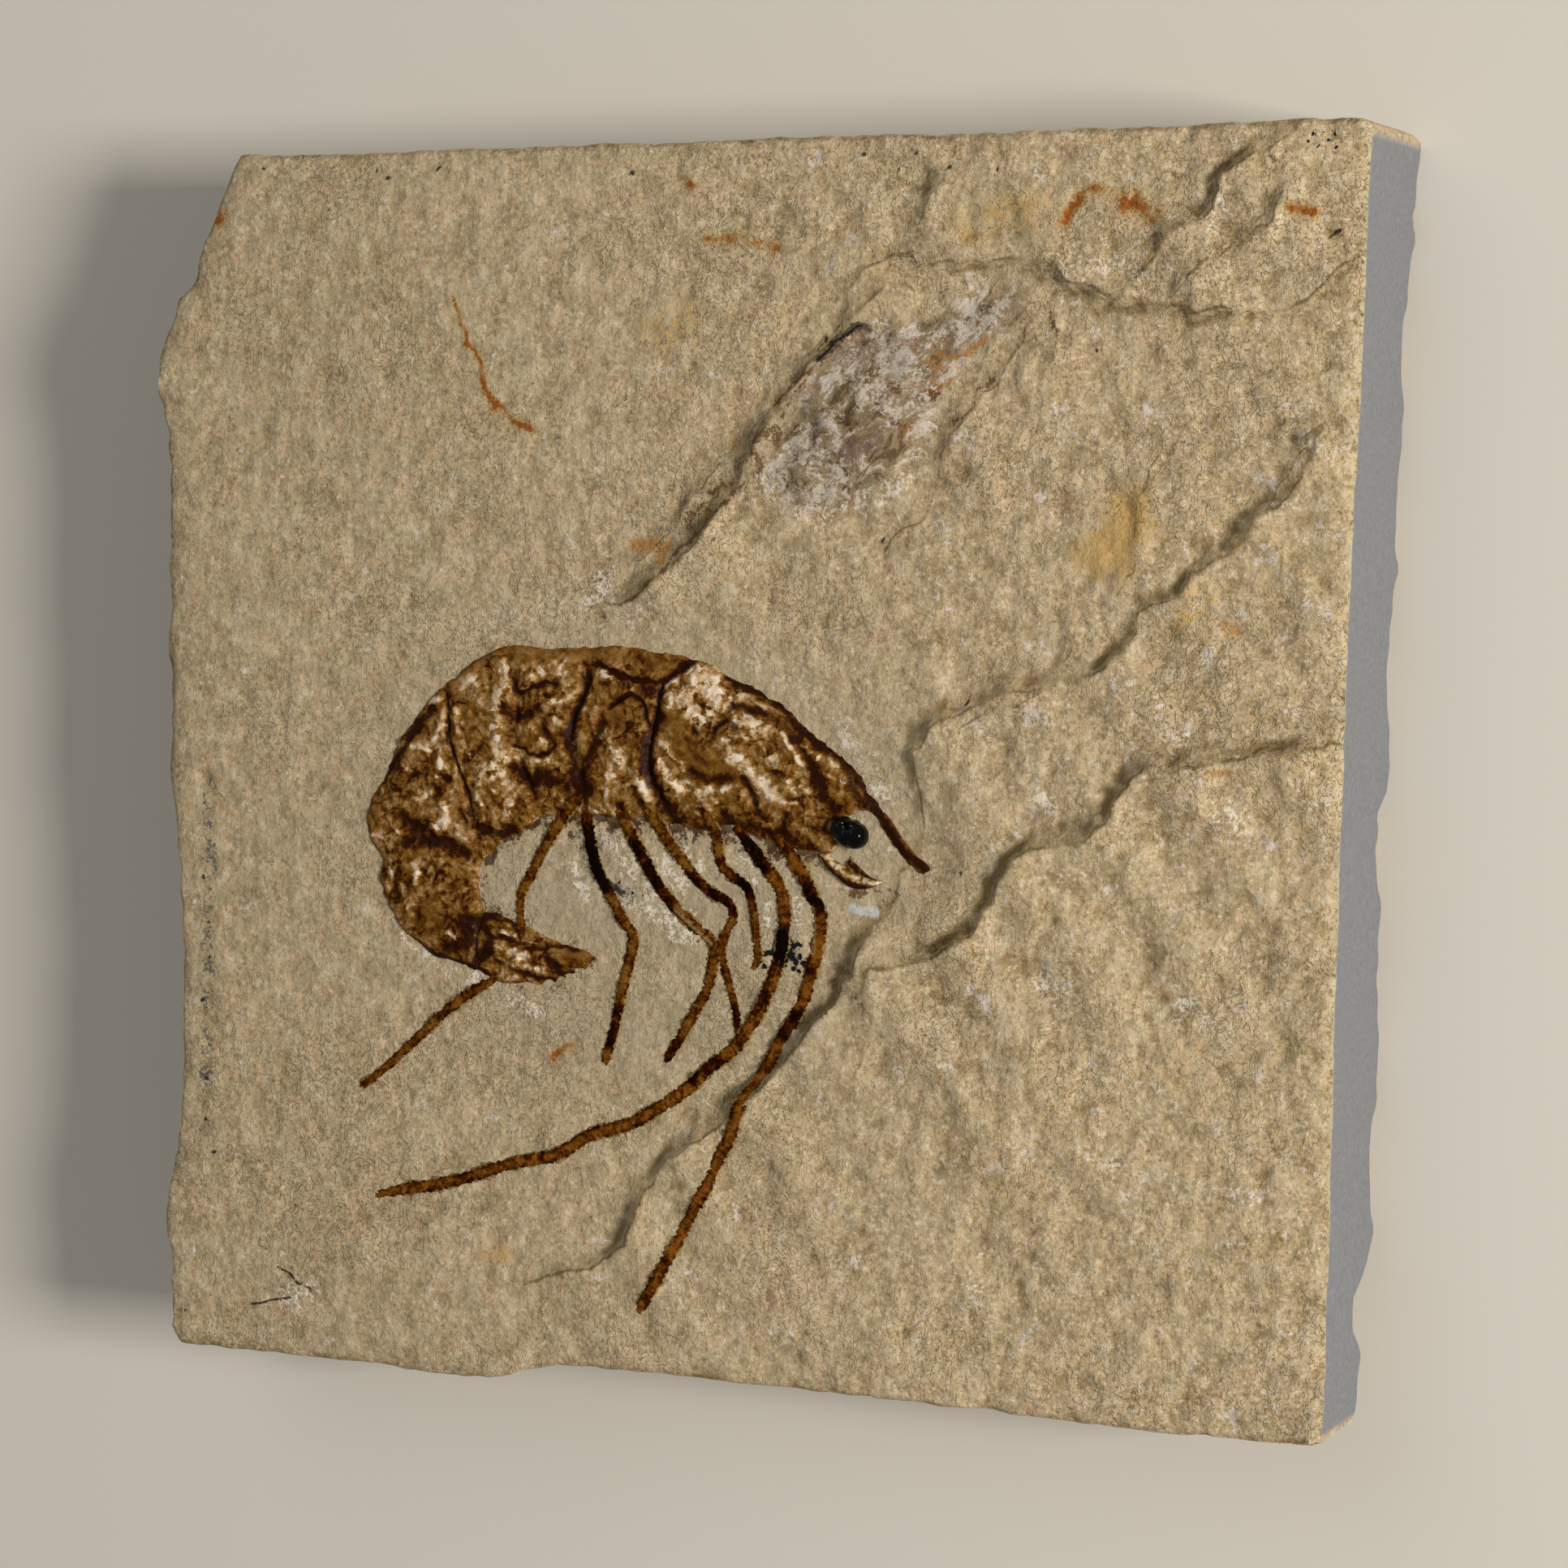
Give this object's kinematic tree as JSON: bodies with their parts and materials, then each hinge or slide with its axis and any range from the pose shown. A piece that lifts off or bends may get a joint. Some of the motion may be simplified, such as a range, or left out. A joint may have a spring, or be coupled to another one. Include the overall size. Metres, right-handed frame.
{
  "type": "fossil shrimp on a limestone slab",
  "caption": "Flat split slab of pale limestone with a curled brown fossil shrimp on its face, legs and long feelers spread below; it lies on its back.",
  "frame": {"origin": "middle of the slab's outline, on the plane that its back rests on", "axes": "+Z out of the split face that carries the fossil, +X along the slab's width towards its sawn side, +Y towards the edge above the shrimp's back"},
  "size_m": [0.102, 0.0992, 0.0161],
  "materials": {
    "limestone": "matt, freshly split and grainy, sawn smooth on the right side",
    "fossil_shell": "brown mineralised shell with a faint gloss",
    "pale_shell": "pale brown mineralised shell",
    "black_eye": "glossy black"
  },
  "bodies": {
    "root": {"slab": "limestone", "carapace": "fossil_shell", "abdomen": "fossil_shell", "tail_fan": "fossil_shell", "eye": "black_eye", "antennal_scale": "pale_shell", "antenna_long": "fossil_shell", "antenna_short": "fossil_shell", "leg_1": "fossil_shell", "leg_1_end": "fossil_shell", "leg_2": "fossil_shell", "leg_3": "fossil_shell", "leg_4": "fossil_shell", "leg_5": "fossil_shell"}
  },
  "joints": []
}
